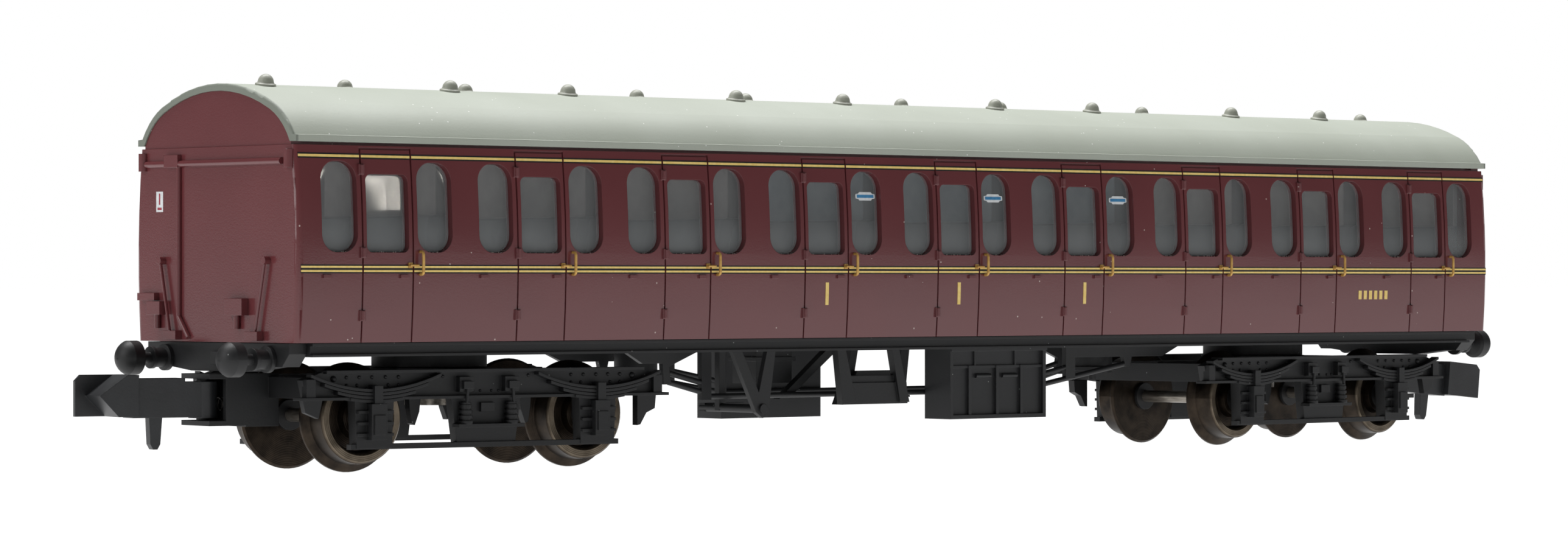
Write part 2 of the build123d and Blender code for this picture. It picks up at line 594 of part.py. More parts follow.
def bogie_side(blade=False):
    """One side frame at +Y: beam, springs, horn guides, axleboxes, links and tie bar.

    The frame on one side of the bogie also carries a pointed blade at its inner end, at -X here.
    """
    face = SIDE_FACE
    web = outline([(-13.9, 5.0), (13.9, 5.0), (14.2, 6.25), (12.6, 6.8), (-12.6, 6.8), (-14.2, 6.25)])
    pieces = [along_y(web, SIDE_INNER, face),
              slab((-12.6, 12.6), (SIDE_INNER, face + 0.45), (6.66, BOGIE_TOP)),
              slab((-14.6, 14.6), (SIDE_INNER + 0.2, face + 0.5), (4.9, 5.1)),
              slab((-10.6, 10.6), (SIDE_INNER + 0.3, face + 0.2), (1.62, 1.98))]
    for x in (-HALF_WHEELBASE, HALF_WHEELBASE):
        horn = outline([(x - 1.35, 1.7), (x + 1.35, 1.7), (x + 1.5, 5.0), (x - 1.5, 5.0)])
        pieces.append(along_y(horn, SIDE_INNER, face + 0.25))
        pieces.append(slab((x - 0.6, x + 0.6), (face, face + 0.95), (2.25, 4.65)))
        pieces.append(slab((x - 0.42, x + 0.42), (face, face + 1.05), (2.6, 3.9)))
        for z in (2.6, 3.35, 4.1):
            pieces.append(slab((x - 1.35, x + 1.35), (face, face + 0.5), (z - 0.1, z + 0.1)))
        pieces += leaf_spring(x)
    for sign in (-1, 1):
        x = sign * 1.8
        bracket = slab((x - 0.55, x + 0.55), (face - 0.1, face + 0.5), (5.35, 6.35))
        pieces.append(bracket)
        pieces.append(slab((x - 0.4, x + 0.4), (face - 0.1, face + 0.8), (5.55, 6.05)))
        pieces.append(rod((x, face + 0.6, 5.7), (x + sign * 0.1, face + 0.6, 3.9), 0.11))
        for turn in range(4):
            z = 3.3 + 0.36 * turn
            pieces.append(Pos(x, face + 0.35, z) * Cylinder(0.5 - 0.03 * turn, 0.22))
        pieces.append(Pos(x, face + 0.35, 3.9) * Cylinder(0.36, 1.5))
        pieces.append(slab((sign * 13.4, sign * 14.1), (face - 0.2, face + 0.4), (4.9, 6.3)))
    outer = 1 if blade else -1
    brace = outline([(outer * 12.6, 4.95), (outer * 14.1, 4.95), (outer * 13.9, 4.1), (outer * 12.9, 3.7)])
    pieces.append(along_y(brace, SIDE_INNER + 0.1, SIDE_INNER + 0.6))
    if blade:
        guard = outline([(-12.35, 4.95), (-13.9, 4.95), (-13.8, 4.0), (-13.1, 3.7),
                         (-12.6, 2.9), (-12.35, 2.85)])
        pieces.append(along_y(guard, SIDE_INNER + 0.05, SIDE_INNER + 0.65))
    plank = outline([(-2.3, 1.8), (2.3, 1.8), (2.75, 5.0), (-2.75, 5.0)])
    pieces.append(along_y(plank, SIDE_INNER, face + 0.05))
    pieces.append(slab((-2.6, 2.6), (face - 0.1, face + 0.8), (2.95, 3.2)))
    pieces.append(slab((-0.55, 0.55), (face - 0.1, face + 0.3), (4.0, 4.6)))
    side = fuse(pieces)
    for x in (-HALF_WHEELBASE, HALF_WHEELBASE):
        socket = Pos(x, 0, AXLE_Z) * Rot(-90, 0, 0) * Pos(0, 0, SIDE_INNER + 0.35) * Cone(0.44, 0.06, 0.7)
        side -= socket
    return side


def brake_shoes():
    """Brake blades that hang from bolster arms, on each wheel's inner side."""
    shoes = []
    for sign in (-1, 1):
        blade = outline([(sign * 3.92, 5.2), (sign * 4.86, 5.2), (sign * 4.8, 4.2), (sign * 4.62, 3.2),
                         (sign * 4.4, 3.1), (sign * 4.05, 4.0)])
        for side in (-1, 1):
            y_range = sorted((side * 4.7, side * 5.3))
            arm = slab((sign * 4.75, sign * 2.1), y_range, (5.05, 5.4))
            shoes.append(fuse([along_y(blade, *y_range), arm]))
    return shoes


def pivot_screw():
    """Shouldered screw that holds the bogie to the underframe pad."""
    head = along_z(Circle(1.7), 4.3, 4.95)
    shank = along_z(Circle(PIVOT_RADIUS), 4.9, SOLE_TOP - 0.25)
    slot = slab((-1.8, 1.8), (-0.15, 0.15), (4.2, 4.55))
    return fuse([head, shank]) - slot


def coupler():
    """Hook coupler in straight position: boss, deep shank, wedge nose, side plate and tail pin."""
    ridge, back, low, high = -25.45, -22.7, 3.85, 6.6
    boss = Pos(POST_X, 0, 0) * along_z(Circle(0.95), 3.68, 6.1)
    shank = slab((back - 0.2, POST_X - 0.3), (-0.85, 0.85), (3.75, 6.1))
    upper = slab((back - 0.2, -19.2), (-0.85, 0.85), (6.0, 6.35))
    wedge = outline([(ridge, 5.25), (-23.5, high), (back, high), (back, low), (-24.1, low)])
    cheek = outline([(COUPLER_TIP, low), (COUPLER_TIP, high - 0.4), (COUPLER_TIP + 0.4, high),
                     (back, high), (back, low)])
    pin = outline([(-21.55, 4.0), (-20.6, 4.0), (-20.75, 2.0), (-20.95, 1.65), (-21.25, 1.65), (-21.45, 2.0)])
    shape = fuse([boss, shank, upper, along_y(wedge, -1.45, 1.2), along_y(cheek, 1.1, 1.45),
                  along_y(pin, -0.35, 0.35)])
    return shape - Pos(POST_X, 0, 0) * along_z(Circle(POST_RADIUS + COUPLER_PLAY), 3, 7)


def coupler_spring():
    """Light coil behind the coupler's boss."""
    coil = Helix(pitch=0.28, height=0.84, radius=0.42)
    start = Plane(origin=coil @ 0, z_dir=coil % 0)
    wire = sweep(start * Circle(0.07), path=coil, is_frenet=True)
    return Pos(-16.5, 0, 4.6) * Rot(0, 90, 0) * wire


def wheel(side):
    """One disc wheel on the bogie's origin: flange inboard, dished face outboard."""
    b, f = WHEEL_BACK, WHEEL_FRONT
    r_bore = BUSH_RADIUS
    profile = make_face(Polyline(
        (r_bore, b), (FLANGE_RADIUS - 0.15, b), (FLANGE_RADIUS, b + 0.14), (FLANGE_RADIUS - 0.02, b + 0.3),
        (FLANGE_RADIUS - 0.36, b + 0.5), (TREAD_RADIUS + 0.04, b + 0.62), (TREAD_RADIUS - 0.03, f - 0.15),
        (TREAD_RADIUS - 0.18, f), (2.5, f), (2.35, f - 0.2), (2.2, f - 0.75), (1.5, f - 0.7),
        (1.32, f - 0.15), (r_bore, f - 0.05), close=True))
    shape = revolve(profile, Axis.Y)
    return shape if side > 0 else mirror(shape, Plane.XZ)


def bush(side):
    """Plastic bush that insulates one wheel from the axle."""
    b, f = WHEEL_BACK - 0.25, WHEEL_FRONT - 0.05
    profile = make_face(Polyline((AXLE_RADIUS, b), (BUSH_RADIUS, b), (BUSH_RADIUS, f),
                                 (AXLE_RADIUS, f), close=True))
    shape = revolve(profile, Axis.Y)
    return shape if side > 0 else mirror(shape, Plane.XZ)


def axle():
    """Steel axle with pin points."""
    half = [(0, 0), (AXLE_RADIUS, 0), (AXLE_RADIUS, 5.9), (0.4, 6.0), (0.4, 6.35), (0.04, 7.1), (0, 7.1)]
    profile = make_face(Polyline(*half, close=True))
    piece = revolve(profile, Axis.Y)
    return fuse([piece, mirror(piece, Plane.XZ)])


def main():
    """Build every node and write it."""
    os.makedirs("parts", exist_ok=True)
    save("body_shell", body_shell())
    save("roof", roof())
    left_vents, right_vents = ventilators()
    save("roof_ventilators_left", left_vents)
    save("roof_ventilators_right", right_vents)
    save("glazing_left", glazing(-1))
    save("glazing_right", glazing(1))
    save("compartment_interior", interior())
    save("ballast_plate", slab((-50, 50), (-6.5, 6.5), (TONGUE_TOP, BALLAST_TOP)))
    save("underframe", underframe())
    save("headstock_front", headstock())
    save("headstock_rear", turned(headstock()))
    for name, y in (("left", -BUFFER_Y), ("right", BUFFER_Y)):
        save(f"buffer_front_{name}", buffer(y))
        save(f"buffer_rear_{name}", turned(buffer(-y)))
    for name, angle in (("left", 0), ("right", 180)):
        save(f"battery_box_{name}", turned(battery_box(), angle))
        save(f"truss_{name}", turned(truss(), angle))
        save(f"equipment_tray_{name}", turned(equipment_tray(), angle))
        save(f"v_hanger_{name}", turned(v_hanger(), angle))
        save(f"grab_handles_{name}", [turned(item, angle) for item in left_grab_handles()])
        save(f"door_handles_{name}", [turned(item, angle) for item in left_door_handles()])
    save("regulator_box", regulator_box())
    save("vacuum_cylinders", [vacuum_cylinder(21.5, -1.5), vacuum_cylinder(-21.5, 1.5)])
    save("brake_shafts", [left_brake_shaft(), turned(left_brake_shaft())])
    save("end_fittings_front", front_end_fittings())
    save("end_fittings_rear", [turned(item) for item in front_end_fittings()])

    side, bladed_side = bogie_side(), bogie_side(blade=True)
    frame, shoes, screw = bogie_frame(), brake_shoes(), pivot_screw()
    hook, spring = coupler(), coupler_spring()
    for name, place in (("front", Pos(-BOGIE_CENTRE, 0, 0) * Rot(0, 0, BOGIE_TURN_FRONT)),
                        ("rear", Pos(BOGIE_CENTRE, 0, 0) * Rot(0, 0, 180 + BOGIE_TURN_REAR))):
        save(f"bogie_{name}_frame", place * frame)
        save(f"bogie_{name}_side_a", place * Rot(0, 0, 180) * bladed_side)
        save(f"bogie_{name}_side_b", place * side)
        save(f"bogie_{name}_brake_shoes", [place * shoe for shoe in shoes])
        save(f"bogie_{name}_pivot_screw", place * screw)
        save(f"bogie_{name}_coupler_spring", place * spring)
        swing = COUPLER_TURN_FRONT if name == "front" else COUPLER_TURN_REAR
        droop = 0 if name == "front" else COUPLER_DROOP_REAR
        hinge = Pos(POST_X, 0, 4.6) * Rot(0, 0, swing) * Rot(0, -droop, 0) * Pos(-POST_X, 0, -4.6)
        save(f"coupler_{name}", place * hinge * hook)
        for end, x in (("outer", -HALF_WHEELBASE), ("inner", HALF_WHEELBASE)):
            hub = place * Pos(x, 0, AXLE_Z)
            save(f"axle_{name}_{end}", hub * axle())
            save(f"wheels_{name}_{end}", [hub * wheel(-1), hub * wheel(1)])
            save(f"wheel_bushes_{name}_{end}", [hub * bush(-1), hub * bush(1)])


if __name__ == "__main__":
    main()
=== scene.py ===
"""Looks of the model passenger coach: materials, printed lining, labels, rivets, light and camera.

Frame: +X along the coach (front end at -X), +Y across, +Z up. Sizes and places below are in millimetres and
MM turns them into the scene's metres.
"""
import json
import math
import random

import bmesh
import bpy
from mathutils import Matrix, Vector


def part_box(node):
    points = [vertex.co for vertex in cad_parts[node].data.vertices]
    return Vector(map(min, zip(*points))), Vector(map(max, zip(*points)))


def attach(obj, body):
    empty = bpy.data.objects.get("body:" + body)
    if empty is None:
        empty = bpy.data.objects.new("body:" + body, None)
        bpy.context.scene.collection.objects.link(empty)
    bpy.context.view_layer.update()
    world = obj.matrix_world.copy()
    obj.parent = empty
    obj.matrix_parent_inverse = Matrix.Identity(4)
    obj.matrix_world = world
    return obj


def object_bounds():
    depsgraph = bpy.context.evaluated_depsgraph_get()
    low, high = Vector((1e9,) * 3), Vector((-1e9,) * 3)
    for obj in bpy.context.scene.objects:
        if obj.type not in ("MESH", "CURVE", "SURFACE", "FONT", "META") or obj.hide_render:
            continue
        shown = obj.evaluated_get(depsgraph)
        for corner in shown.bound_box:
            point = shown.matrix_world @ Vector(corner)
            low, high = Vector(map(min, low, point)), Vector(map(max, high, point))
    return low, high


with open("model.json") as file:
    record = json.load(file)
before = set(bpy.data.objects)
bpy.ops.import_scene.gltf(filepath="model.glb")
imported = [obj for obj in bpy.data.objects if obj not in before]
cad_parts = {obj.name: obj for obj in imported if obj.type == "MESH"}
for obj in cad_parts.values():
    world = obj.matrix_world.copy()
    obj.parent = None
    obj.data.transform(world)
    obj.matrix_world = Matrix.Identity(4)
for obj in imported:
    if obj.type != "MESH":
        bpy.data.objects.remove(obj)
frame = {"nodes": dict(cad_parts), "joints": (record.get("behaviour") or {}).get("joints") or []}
CAD_BOX = [[float(c) for c in corner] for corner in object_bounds()]
NODES = frame["nodes"]
JOINTS = {joint["name"]: joint for joint in frame["joints"]}
MM = 0.001
SCENE = bpy.context.scene
ENDS = {"front": -1, "rear": 1}
SIDES = {"left": -1, "right": 1}


# ---------------------------------------------------------------- sizes the looks follow
HALF_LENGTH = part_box("body_shell")[1].x / MM
PITCH = 12.88
DOOR_HALF = 2.055
GROOVE_HALF = 0.07
CORNER = 0.22
COMPARTMENT_X = [(i - 4) * PITCH for i in range(9)]
FIRST_CLASS = (3, 4, 5)
SIDE_POINTS = ((8.73, 9.08), (15.0, 9.3), (21.6, 8.87))


def side_circle():
    """Centre (z, y) and radius of the arc that the body side follows."""
    (z1, y1), (z2, y2), (z3, y3) = SIDE_POINTS
    a = 2 * (z2 - z1)
    b = 2 * (y2 - y1)
    c = z2 ** 2 + y2 ** 2 - z1 ** 2 - y1 ** 2
    d = 2 * (z3 - z2)
    e = 2 * (y3 - y2)
    f = z3 ** 2 + y3 ** 2 - z2 ** 2 - y2 ** 2
    det = a * e - b * d
    z0 = (c * e - b * f) / det
    y0 = (a * f - c * d) / det
    return z0, y0, math.hypot(z1 - z0, y1 - y0)


SIDE_Z0, SIDE_Y0, SIDE_R = side_circle()


def side_y(z):
    """Half width of the body side at height z."""
    return SIDE_Y0 + math.sqrt(SIDE_R ** 2 - (z - SIDE_Z0) ** 2)


# ---------------------------------------------------------------- material tools
TONE_STOPS = (0.3, 0.7)     # where a noise value reaches its darker and its lighter tone
SPECK_SIZE = 0.16           # a dust speck's radius against its cell


def srgb(r, g, b):
    """Linear colour from 0-255 screen values."""
    out = []
    for v in (r, g, b):
        v /= 255
        out.append(v / 12.92 if v <= 0.04045 else ((v + 0.055) / 1.055) ** 2.4)
    return (*out, 1.0)


class Paint:
    """A Principled material with helpers for its node tree. Lengths are in millimetres."""

    def __init__(self, name, specular=0.5, metallic=0.0):
        self.mat = bpy.data.materials.new(name)
        self.mat.use_nodes = True
        self.tree = self.mat.node_tree
        self.bsdf = self.tree.nodes["Principled BSDF"]
        self.bsdf.inputs["Specular IOR Level"].default_value = specular
        self.bsdf.inputs["Metallic"].default_value = metallic
        self.coords = self.tree.nodes.new("ShaderNodeTexCoord").outputs["Object"]

    def node(self, kind, **values):
        made = self.tree.nodes.new(kind)
        for key, value in values.items():
            setattr(made, key, value)
        return made

    def feed(self, socket, value):
        """Link an output into a socket, or set the socket to a plain value."""
        if isinstance(value, bpy.types.NodeSocket):
            self.tree.links.new(value, socket)
        else:
            socket.default_value = value

    def scaled_coords(self, stretch=(1, 1, 1), shift=0.0):
        """Object coordinates in millimetres."""
        place = self.node("ShaderNodeMapping")
        self.feed(place.inputs["Scale"], [s / MM for s in stretch])
        self.feed(place.inputs["Location"], (shift,) * 3)
        self.feed(place.inputs["Vector"], self.coords)
        return place.outputs["Vector"]

    def noise(self, per_mm, detail=3.0, stretch=(1, 1, 1)):
        """Noise value with about per_mm features in a millimetre."""
        made = self.node("ShaderNodeTexNoise")
        self.feed(made.inputs["Scale"], per_mm)
        self.feed(made.inputs["Detail"], detail)
        self.feed(made.inputs["Vector"], self.scaled_coords(stretch))
        return made.outputs["Fac"]

    def specks(self, per_mm, threshold, shift=0.0):
        """Sparse dust: 1 on small specks, 0 elsewhere."""
        cells = self.node("ShaderNodeTexVoronoi")
        self.feed(cells.inputs["Scale"], per_mm)
        self.feed(cells.inputs["Vector"], self.scaled_coords(shift=shift))
        near = self.math("LESS_THAN", cells.outputs["Distance"], SPECK_SIZE)
        pick = self.node("ShaderNodeSeparateColor")
        self.feed(pick.inputs[0], cells.outputs["Color"])
        return self.math("MULTIPLY", near, self.math("GREATER_THAN", pick.outputs[0], threshold))

    def tones(self, value, low, high):
        """Colour that wanders between two tones, each given as 0-255 screen values."""
        ramp = self.node("ShaderNodeValToRGB")
        for element, stop, tone in zip(ramp.color_ramp.elements, TONE_STOPS, (low, high)):
            element.position = stop
            element.color = srgb(*tone)
        self.feed(ramp.inputs["Fac"], value)
        return ramp.outputs["Color"]

    def math(self, kind, a, b=None):
        made = self.node("ShaderNodeMath", operation=kind)
        self.feed(made.inputs[0], a)
        if b is not None:
            self.feed(made.inputs[1], b)
        return made.outputs[0]

    def vector_math(self, kind, a, b=None):
        made = self.node("ShaderNodeVectorMath", operation=kind)
        self.feed(made.inputs[0], a)
        if b is not None:
            self.feed(made.inputs["Scale"] if kind == "SCALE" else made.inputs[1], b)
        return made.outputs["Value"] if kind in ("DOT_PRODUCT", "LENGTH") else made.outputs[0]

    def mix(self, factor, a, b):
        """Colour a where factor is 0 and colour b where it is 1."""
        made = self.node("ShaderNodeMix", data_type="RGBA")
        for socket, value in ((made.inputs["Factor"], factor), (made.inputs[6], a), (made.inputs[7], b)):
            self.feed(socket, value)
        return made.outputs[2]

    def axis(self, index):
        """One object coordinate."""
        parts = self.node("ShaderNodeSeparateXYZ")
        self.feed(parts.inputs[0], self.coords)
        return self.math("MULTIPLY", parts.outputs[index], 1 / MM)

    def map_range(self, value, **ends):
        """Map a value between ends given as from_min, from_max, to_min and to_max."""
        made = self.node("ShaderNodeMapRange", clamp=True)
        for key, end in ends.items():
            self.feed(made.inputs[key.replace("_", " ").title()], end)
        self.feed(made.inputs["Value"], value)
        return made.outputs[0]

    def band(self, value, low, high, soft):
        """1 between low and high, falling to 0 over soft."""
        rise = self.map_range(value, from_min=low - soft, from_max=low + soft)
        fall = self.map_range(value, from_min=high + soft, from_max=high - soft)
        return self.math("MULTIPLY", rise, fall)

    def surface(self, colour, rough, source, bump=None, edge=0.0):
        """Join colour, varying roughness, one fine bump (height, depth) and softened edges to the shader."""
        self.feed(self.bsdf.inputs["Base Color"], colour)
        self.feed(self.bsdf.inputs["Roughness"], self.map_range(source, to_min=rough[0], to_max=rough[1]))
        normal = None
        if edge:
            soft = self.node("ShaderNodeBevel", samples=4)
            self.feed(soft.inputs["Radius"], edge * MM)
            normal = soft.outputs[0]
        if bump:
            relief = self.node("ShaderNodeBump")
            self.feed(relief.inputs["Strength"], 1.0)
            self.feed(relief.inputs["Distance"], bump[1] * MM)
            self.feed(relief.inputs["Height"], bump[0])
            if normal:
                self.feed(relief.inputs["Normal"], normal)
            normal = relief.outputs[0]
        if normal:
            self.feed(self.bsdf.inputs["Normal"], normal)
        return self.mat


# ---------------------------------------------------------------- materials
RIM_BAND = 0.17             # darker strip of the roof at each end
TREAD = (2.36, 3.0)         # radii of the bright ring on a wheel
TREAD_FACE = (5.4, 8)       # how far from the axle's middle that ring shows
LATHE_RINGS = 55.0          # turning marks, radians for each millimetre of radius
SEAT_TOP = 17.15
SHADED_EDGE = (6.3, 9.0)    # distance from the middle over which the interior is in shade
SHADE = 0.75
FILM_HEIGHTS = (14.6, 17.3)
FILM_ALPHA = (0.36, 0.16)   # opacity of the glazing at those heights
GLAZING_IOR = 1.5


def maroon_paint():
    p = Paint("maroon_satin", specular=0.6)
    cloud = p.noise(0.08, 4)
    colour = p.tones(cloud, (100, 49, 52), (108, 53, 56))
    colour = p.mix(p.specks(2.8, 0.985), colour, srgb(196, 178, 172))
    return p.surface(colour, (0.17, 0.25), cloud, (p.noise(9, 2), 0.0035), edge=0.05)


def roof_paint():
    p = Paint("roof_grey_paint", specular=0.4)
    grain = p.noise(6, 3)
    colour = p.tones(p.noise(0.12, 4), (168, 174, 162), (176, 182, 171))
    rim = p.band(p.math("ABSOLUTE", p.axis(0)), HALF_LENGTH - RIM_BAND, HALF_LENGTH + 1, 0.06)
    colour = p.mix(rim, colour, srgb(124, 130, 120))
    colour = p.mix(p.specks(3.2, 0.97, 3.0), colour, srgb(232, 233, 229))
    return p.surface(colour, (0.5, 0.62), grain, (grain, 0.008), edge=0.06)


def vent_paint():
    p = Paint("vent_grey_paint", specular=0.45)
    cloud = p.noise(1.2, 3)
    colour = p.tones(cloud, (156, 158, 147), (170, 172, 161))
    return p.surface(colour, (0.38, 0.5), cloud, (p.noise(8, 2), 0.006), edge=0.04)


def black_plastic(name, low, high, rough):
    p = Paint(name)
    cloud = p.noise(0.35, 4)
    colour = p.mix(p.specks(3.6, 0.985, 7.0), p.tones(cloud, low, high), srgb(128, 130, 128))
    return p.surface(colour, rough, cloud, (p.noise(7, 3), 0.006), edge=0.06)


def wheel_metal(name, centre, axle):
    """Blackened metal with a brighter ring near the rim of the wheel's outer face. centre and axle place the
    axle's line.
    """
    p = Paint(name, metallic=0.85)
    away = p.vector_math("SUBTRACT", p.coords, [c * MM for c in centre])
    along = p.vector_math("DOT_PRODUCT", away, axle)
    outward = p.vector_math("SUBTRACT", away, p.vector_math("SCALE", axle, along))
    radius = p.math("MULTIPLY", p.vector_math("LENGTH", outward), 1 / MM)
    off_middle = p.math("ABSOLUTE", p.math("MULTIPLY", along, 1 / MM))
    cloud = p.noise(0.9, 4)
    dark = p.tones(cloud, (28, 23, 19), (62, 53, 44))
    bright = p.tones(cloud, (82, 73, 62), (122, 111, 96))
    rim = p.math("MULTIPLY", p.band(radius, *TREAD, 0.06), p.band(off_middle, *TREAD_FACE, 0.1))
    lathe = p.math("SINE", p.math("MULTIPLY", radius, LATHE_RINGS))
    return p.surface(p.mix(rim, dark, bright), (0.3, 0.46), cloud, (lathe, 0.002), edge=0.03)


def steel(name, low, high):
    p = Paint(name, metallic=0.9)
    cloud = p.noise(1.0, 3, stretch=(6, 1, 6))
    return p.surface(p.tones(cloud, low, high), (0.28, 0.4), cloud, (p.noise(14, 2), 0.002))


def brass_paint():
    p = Paint("brass_paint", metallic=0.35)
    cloud = p.noise(2.5, 3)
    colour = p.tones(cloud, (186, 142, 72), (216, 174, 98))
    return p.surface(colour, (0.32, 0.46), cloud, (p.noise(12, 2), 0.004), edge=0.03)


def print_ink(name, low, high):
    p = Paint(name, specular=0.35)
    cloud = p.noise(3.0, 3)
    return p.surface(p.tones(cloud, low, high), (0.4, 0.52), cloud, (p.noise(16, 2), 0.002))


def glazing_plastic():
    """Clear moulding with a grey film that is denser low down."""
    p = Paint("clear_glazing", specular=0.55)
    haze = p.noise(0.5, 3)
    film = p.map_range(p.axis(2), from_min=FILM_HEIGHTS[0], from_max=FILM_HEIGHTS[1],
                       to_min=FILM_ALPHA[0], to_max=FILM_ALPHA[1])
    p.feed(p.bsdf.inputs["Alpha"], film)
    p.feed(p.bsdf.inputs["IOR"], GLAZING_IOR)
    return p.surface(p.tones(haze, (176, 180, 182), (190, 194, 195)), (0.02, 0.05), haze)


def interior_plastic():
    """Grey moulding; the three middle compartments are bluer, and seats and wall sides lie in shade."""
    p = Paint("interior_moulding", specular=0.3)
    cloud = p.noise(0.7, 3)
    grey = p.tones(cloud, (180, 175, 173), (196, 191, 188))
    blue = p.tones(cloud, (160, 174, 183), (175, 189, 197))
    first = (COMPARTMENT_X[FIRST_CLASS[0]] - PITCH / 2, COMPARTMENT_X[FIRST_CLASS[-1]] + PITCH / 2)
    colour = p.mix(p.band(p.axis(0), *first, 0.05), grey, blue)
    seats = p.tones(cloud, (88, 91, 94), (102, 105, 108))
    colour = p.mix(p.band(p.axis(2), 0, SEAT_TOP, 0.05), colour, seats)
    wall_side = p.band(p.math("ABSOLUTE", p.axis(1)), *SHADED_EDGE, 0.08)
    colour = p.mix(p.math("MULTIPLY", wall_side, SHADE), colour, srgb(52, 53, 54))
    return p.surface(colour, (0.55, 0.7), cloud, (p.noise(5, 2), 0.006), edge=0.05)


BLACK = black_plastic("black_plastic", (13, 14, 15), (22, 23, 25), (0.44, 0.62))
BOX_BLACK = black_plastic("box_plastic", (22, 23, 24), (32, 33, 35), (0.44, 0.62))
COUPLER_BLACK = black_plastic("coupler_plastic", (28, 29, 31), (42, 44, 46), (0.34, 0.5))
STEEL = steel("turned_steel", (120, 114, 106), (158, 152, 143))
# a darker copy of the turned steel for the coupler springs: painted shade for their place deep inside the
# coupler pockets
SHADED_SPRING_STEEL = steel("spring_steel_painted_shade", (52, 50, 47), (74, 71, 67))
YELLOW = print_ink("lining_yellow", (240, 206, 116), (250, 222, 142))
LINE_BLACK = print_ink("lining_black", (18, 17, 18), (28, 26, 27))
LABEL_BLUE = print_ink("label_blue", (52, 120, 168), (70, 140, 186))
LABEL_WHITE = print_ink("label_white", (214, 218, 220), (230, 233, 234))
LABEL_RED = print_ink("label_red", (150, 52, 66), (172, 66, 80))
DUST = print_ink("sill_dust", (176, 160, 154), (206, 194, 186))

undressed = set(NODES)


def dress(names, material):
    for name in names:
        NODES[name].data.materials.clear()
        NODES[name].data.materials.append(material)
        undressed.discard(name)


dress(["body_shell"] + [f"end_fittings_{e}" for e in ENDS], maroon_paint())
dress(["roof"], roof_paint())
dress([f"roof_ventilators_{s}" for s in SIDES], vent_paint())
dress([f"glazing_{s}" for s in SIDES], glazing_plastic())
dress(["compartment_interior"], interior_plastic())
dress(["ballast_plate"] + [f"bogie_{e}_pivot_screw" for e in ENDS], STEEL)
dress([f"axle_{e}_{p}" for e in ENDS for p in ("outer", "inner")], STEEL)
# the coupler springs take the steel painted dark as shade inside the pockets
dress([f"bogie_{e}_coupler_spring" for e in ENDS], SHADED_SPRING_STEEL)
dress([f"{kind}_handles_{s}" for kind in ("door", "grab") for s in SIDES], brass_paint())
dress([f"coupler_{e}" for e in ENDS], COUPLER_BLACK)
dress([f"battery_box_{s}" for s in SIDES], BOX_BLACK)
for joint in frame["joints"]:
    if joint["name"].startswith("wheelset_"):
        tag = joint["child"][len("wheelset_"):]
        middle = [c / MM for c in joint["pos_m"]]
        dress([f"wheels_{tag}"], wheel_metal(f"wheel_metal_{tag}", middle, joint["axis"]))
dress(sorted(undressed), BLACK)


# ---------------------------------------------------------------- piece tools
PRINT_DEPTH = 0.02
PATCH_ROWS = 3


def piece(name, bm, material, body):
    """Make a bmesh (in millimetres) into a piece that rides on a body."""
    mesh = bpy.data.meshes.new(name)
    bmesh.ops.scale(bm, vec=(MM, MM, MM), verts=bm.verts)
    bmesh.ops.recalc_face_normals(bm, faces=bm.faces)
    bm.to_mesh(mesh)
    bm.free()
    obj = bpy.data.objects.new(name, mesh)
    SCENE.collection.objects.link(obj)
    obj.data.materials.append(material)
    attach(obj, body)


def join_rings(bm, rings):
    """Close a stack of equal rings of vertices into a solid."""
    for low, high in zip(rings, rings[1:]):
        for k in range(len(low)):
            after = (k + 1) % len(low)
            bm.faces.new((low[k], low[after], high[after], high[k]))
    bm.faces.new(rings[0])
    bm.faces.new(rings[-1])


def side_patch(bm, side, x0, x1, z0, z1, lift, depth=PRINT_DEPTH):
    """Thin rectangle that lies on the body side, side = -1 (left) or 1 (right)."""
    rings = []
    for row in range(PATCH_ROWS + 1):
        z = z0 + (z1 - z0) * row / PATCH_ROWS
        y_out = side * (side_y(z) + lift)
        y_in = side * (side_y(z) + lift - depth)
        corners = ((x0, y_out, z), (x1, y_out, z), (x1, y_in, z), (x0, y_in, z))
        rings.append([bm.verts.new(corner) for corner in corners])
    join_rings(bm, rings)


def side_plate(bm, side, x, z, points, lift):
    """Thin plate with a given (X, Z) outline about (x, z), bent to the body side."""
    rings = []
    for layer in (lift, lift - PRINT_DEPTH):
        rings.append([bm.verts.new((x + px, side * (side_y(z + pz) + layer), z + pz)) for px, pz in points])
    join_rings(bm, rings)


def block(bm, xs, ys, zs):
    """Plain box between two values on each axis."""
    made = bmesh.ops.create_cube(bm, size=1.0)["verts"]
    bmesh.ops.scale(bm, vec=[abs(b - a) for a, b in (xs, ys, zs)], verts=made)
    bmesh.ops.translate(bm, vec=[(a + b) / 2 for a, b in (xs, ys, zs)], verts=made)


def ball(bm, spot, radius, fineness):
    """Small dome, speck or rivet head centred on a spot."""
    made = bmesh.ops.create_icosphere(bm, subdivisions=fineness, radius=radius)["verts"]
    bmesh.ops.translate(bm, vec=spot, verts=made)


def side_spans():
    """X ranges of the body side between its corners and the door grooves."""
    edges = [-HALF_LENGTH + CORNER]
    for x in COMPARTMENT_X:
        for groove in (x - DOOR_HALF, x + DOOR_HALF):
            edges += [groove - GROOVE_HALF, groove + GROOVE_HALF]
    edges.append(HALF_LENGTH - CORNER)
    return list(zip(edges[0::2], edges[1::2]))


def mirrored(quarter):
    """Closed outline from the points of its upper right quarter."""
    back = quarter[::-1]
    return ([(-x, -z) for x, z in quarter] + [(x, -z) for x, z in back]
            + list(quarter) + [(-x, z) for x, z in back])


# ---------------------------------------------------------------- printed lining
YELLOW_LINES = ((20.82, 20.98), (13.335, 13.465), (13.605, 13.735))
BLACK_LINES = ((20.72, 21.08), (13.25, 13.82))
YELLOW_LIFT = 0.022
BLACK_LIFT = 0.01
BLACK_DEPTH = 0.03

